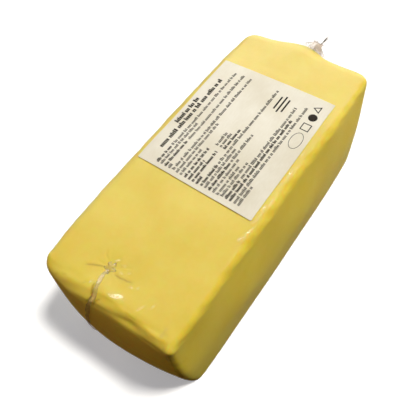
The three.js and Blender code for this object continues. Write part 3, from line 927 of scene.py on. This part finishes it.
def print_blocks():
    """Rows of print as blocks the size of letters, grouped in words: middle and size across and along."""
    rng = np.random.default_rng(SEED)
    blocks = []
    rows = [(TITLE_HEIGHT, *row) for row in TITLE_ROWS] + [(TEXT_HEIGHT, *row) for row in TEXT_ROWS]
    for height, x, runs in rows:
        for start, end, bold in runs:
            at, left = start, int(rng.integers(*WORD_LETTERS))
            while at < end - LETTER_PITCH:
                pitch = LETTER_PITCH * height / TEXT_HEIGHT * rng.uniform(0.8, 1.2)
                tall = height * (TALL_GAIN if rng.uniform() < TALL_SHARE else 1)
                width = pitch * (BOLD_SHARE if bold else STEM_SHARE)
                blocks.append((x - (tall - height) / 2, at + pitch / 2, tall, width))
                at, left = at + pitch, left - 1
                if left == 0:
                    at, left = at + 0.9 * pitch, int(rng.integers(*WORD_LETTERS))
    blocks += [(x, (start + end) / 2, BAR_HEIGHT, end - start) for x, start, end in BAR_ROWS]
    return np.array(blocks)


def block_shells(blocks):
    """A closed low box of eight points and six quads for each block, bent with the label."""
    corner_x = np.array([-1, 1, 1, -1, -1, 1, 1, -1]) / 2
    corner_y = np.array([-1, -1, 1, 1, -1, -1, 1, 1]) / 2
    lift = np.repeat(INK_LIFT, 4)
    x = blocks[:, :1] + blocks[:, 2:3] * corner_x
    y = blocks[:, 1:2] + blocks[:, 3:] * corner_y
    points = on_label(x, y, np.broadcast_to(lift, x.shape)).reshape(-1, 3)
    quads = np.array([[3, 2, 1, 0], [4, 5, 6, 7], [0, 1, 5, 4], [1, 2, 6, 5], [2, 3, 7, 6], [3, 0, 4, 7]])
    faces = (quads[None] + 8 * np.arange(len(blocks))[:, None, None]).reshape(-1, 4)
    return points, faces.tolist()


def outline_shell(outer, inner):
    """A closed flat band between an outer and an inner loop of places on the label."""
    loops = [(inner, INK_LIFT[1]), (inner, INK_LIFT[0]), (outer, INK_LIFT[0]), (outer, INK_LIFT[1])]
    rings = np.stack([on_label(loop[:, 0], loop[:, 1], np.full(len(loop), lift)) for loop, lift in loops], 1)
    count = len(outer)
    ids = np.arange(count * 4).reshape(count, 4)
    ahead, turned = np.roll(ids, -1, axis=0), np.roll(ids, -1, axis=1)
    quads = np.stack([ids, ahead, np.roll(ahead, -1, axis=1), turned], -1).reshape(-1, 4)
    return rings.reshape(-1, 3), quads.tolist()


def polygon_loop(middle, radius, corners, turn):
    """A regular polygon's outline as evenly spaced places: the radius that reaches its side at each angle."""
    angle = np.linspace(0, 2 * math.pi, SHAPE_SIDES, endpoint=False)
    sector = 2 * math.pi / corners
    reach = radius * math.cos(sector / 2) / np.cos((angle + turn) % sector - sector / 2)
    return np.stack([middle[0] + reach * np.cos(angle), middle[1] + reach * np.sin(angle)], -1)


def disc_shell(middle, radius):
    """A closed flat disc: an upper and a lower face joined by a band."""
    angle = np.linspace(0, 2 * math.pi, SHAPE_SIDES, endpoint=False)
    x, y = middle[0] + radius * np.cos(angle), middle[1] + radius * np.sin(angle)
    rings = np.stack([on_label(x, y, np.full(SHAPE_SIDES, lift)) for lift in INK_LIFT])
    return strip_shell(rings)


def plain_shapes():
    """The plain shapes of the label's far corner: an oval ring, a square, a disc and a triangle."""
    angle = np.linspace(0, 2 * math.pi, SHAPE_SIDES, endpoint=False)
    way = np.stack([np.cos(angle), np.sin(angle)], -1)
    ring = outline_shell(RING_AT + way * RING_HALF, RING_AT + way * (np.array(RING_HALF) - RING_LINE))
    square = [polygon_loop(SQUARE_AT, radius, 4, math.pi / 4)
              for radius in (SQUARE_HALF * math.sqrt(2), (SQUARE_HALF - SHAPE_LINE) * math.sqrt(2))]
    triangle = [polygon_loop(TRIANGLE_AT, radius, 3, math.pi)
                for radius in (TRIANGLE_RADIUS, TRIANGLE_RADIUS - 2 * SHAPE_LINE)]
    return [ring, outline_shell(*square), disc_shell(DISC_AT, DISC_RADIUS), outline_shell(*triangle)]


def joined(shells):
    """Several meshes as one: their points in a row, and their faces numbered on from each other."""
    points, faces, first = [], [], 0
    for shell_points, shell_faces in shells:
        points.append(shell_points)
        faces += [[first + index for index in face] for face in shell_faces]
        first += len(shell_points)
    return np.concatenate(points), faces


def place_camera():
    """Camera on a sphere round its target, turned about its own line of sight by the roll."""
    side = math.cos(CAMERA_ELEVATION)
    back = np.array([math.sin(CAMERA_AZIMUTH) * side, -math.cos(CAMERA_AZIMUTH) * side,
                     math.sin(CAMERA_ELEVATION)])
    level = unit(np.cross([0, 0, 1], back))
    upright = np.cross(back, level)
    right = math.cos(CAMERA_ROLL) * level + math.sin(CAMERA_ROLL) * upright
    up = math.cos(CAMERA_ROLL) * upright - math.sin(CAMERA_ROLL) * level
    data = bpy.data.cameras.new("camera")
    data.lens = CAMERA_LENS
    data.sensor_width = SENSOR_WIDTH
    data.clip_start = 0.01
    camera = bpy.data.objects.new("camera", data)
    bpy.context.scene.collection.objects.link(camera)
    place = (CAMERA_TARGET + back * CAMERA_DISTANCE) * MM
    rows = np.stack([right, up, back, place], 1).tolist()
    camera.matrix_world = Matrix([*rows, [0, 0, 0, 1]])
    bpy.context.scene.camera = camera


def place_lights():
    """Softboxes that face the block's middle, and a white surround that lights nothing."""
    middle = Vector((0, 0, HALF[2] * MM))
    for name, way, distance, size, power, colour, shown_in in LIGHTS:
        data = bpy.data.lights.new(name, "AREA")
        data.shape = "RECTANGLE"
        data.size, data.size_y = size
        data.energy = power
        data.color = linear(colour)[:3]
        light = bpy.data.objects.new(name, data)
        bpy.context.scene.collection.objects.link(light)
        away = Vector(way).normalized()
        light.location = middle + away * distance
        light.rotation_euler = away.to_track_quat("Z", "Y").to_euler()
        light.visible_camera = False
        light.visible_diffuse = shown_in != "gloss"
        light.visible_glossy = shown_in != "body"
    world = bpy.data.worlds.new("surround")
    world.use_nodes = True
    surround = world.node_tree.nodes["Background"]
    surround.inputs["Color"].default_value = linear(SURROUND_COLOUR)
    world.cycles_visibility.diffuse = False
    world.cycles_visibility.glossy = False
    bpy.context.scene.world = world
    bpy.context.scene.view_settings.view_transform = "Standard"


def place_floor():
    """Plain floor under the resting face: it takes the shadow, but throws and stops no other light."""
    lines = (stops((-FLOOR_HALF, FLOOR_HALF, 0.5)), stops((-FLOOR_HALF, FLOOR_HALF, 0.5)), (-0.02, -0.0002))
    grid, faces = box_shell(lines)
    floor = make_piece("floor", grid / MM, faces, pale_floor(), crisp=CRISP_ANGLE)
    floor.visible_glossy = False
    floor.visible_diffuse = False
    floor.visible_shadow = False


place_camera()
place_lights()
place_floor()

clear_film = shrink_film()
cheese, film = film_and_cheese(clear_film)
strip, knot = seam_flap(), knot_shell()
# Painted shade of the flap's edges and the knot's valleys, darkening the film's tint
painted_shade = np.concatenate([strip[2], knot[2]])
flap = make_piece("seam_flap", *joined([strip[:2], knot[:2]]), clear_film,
                  fold_shade=FLAP_SHADE[0] + FLAP_SHADE[1] * painted_shade,
                  film_milk=np.full(len(painted_shade), FLAP_MILK), film_slack=np.full(len(painted_shade), FLAP_SLACK))
tail_points, tail_faces, tail_layers = tail_shell()
tail = make_piece("film_tail_gathered", tail_points, tail_faces, gathered_film(), film_layers=tail_layers)
label = make_piece("label_sheet", *label_shell(), label_paper(), crisp=CRISP_ANGLE)
print_shells = [block_shells(print_blocks()), *plain_shapes()]
ink = make_piece("label_print", *joined(print_shells), print_ink(), crisp=CRISP_ANGLE)

for piece, slot in ((cheese, "cheese"), (film, "clear_film"), (flap, "clear_film"), (tail, "clear_film"),
                    (label, "label_paper"), (ink, "label_paper")):
    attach(piece, "root")
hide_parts("wrapped_block")
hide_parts("wrapped_block")
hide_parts("film_tail")
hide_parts("label")

bpy.context.view_layer.update()
